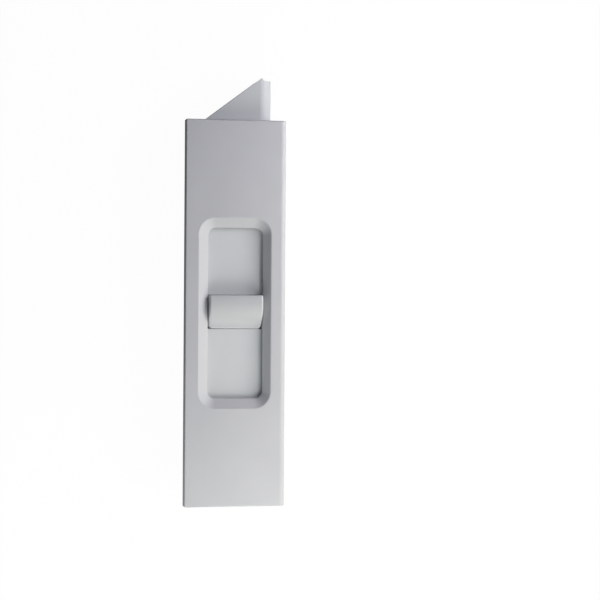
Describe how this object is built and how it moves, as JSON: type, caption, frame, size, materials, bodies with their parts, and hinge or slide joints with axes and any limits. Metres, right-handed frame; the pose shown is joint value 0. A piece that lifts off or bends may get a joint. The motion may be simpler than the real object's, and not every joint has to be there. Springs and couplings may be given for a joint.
{
  "type": "tilt window latch",
  "caption": "Flush-mount tilt latch for a sliding sash window: moulded housing with a bevelled finger recess, spring-loaded wedge bolt and crowned thumb tab.",
  "frame": {"origin": "middle of the sash cut-out, in the plane of the sash face on which the face plate seats", "axes": "+X across the latch, +Y along it towards the nose of the bolt, +Z out of the face"},
  "size_m": [0.0254, 0.1075, 0.0127],
  "materials": {
    "housing": "satin moulded",
    "back_cover": "satin moulded",
    "latch_bolt": "satin moulded",
    "thumb_tab": "satin moulded",
    "spring_steel": "drawn wire"
  },
  "bodies": {
    "housing": {"housing": "housing", "back_cover": "back_cover", "bolt_spring": "spring_steel"},
    "bolt": {"latch_bolt": "latch_bolt", "thumb_tab": "thumb_tab"}
  },
  "joints": [
    {"name": "bolt_slide", "type": "slide", "parent": "housing", "child": "bolt", "axis": [0, -1, 0], "range_m": [0, 0.0111], "stiffness_N_per_m": 400, "springref_m": -0.006, "deforming": ["bolt_spring"]}
  ]
}
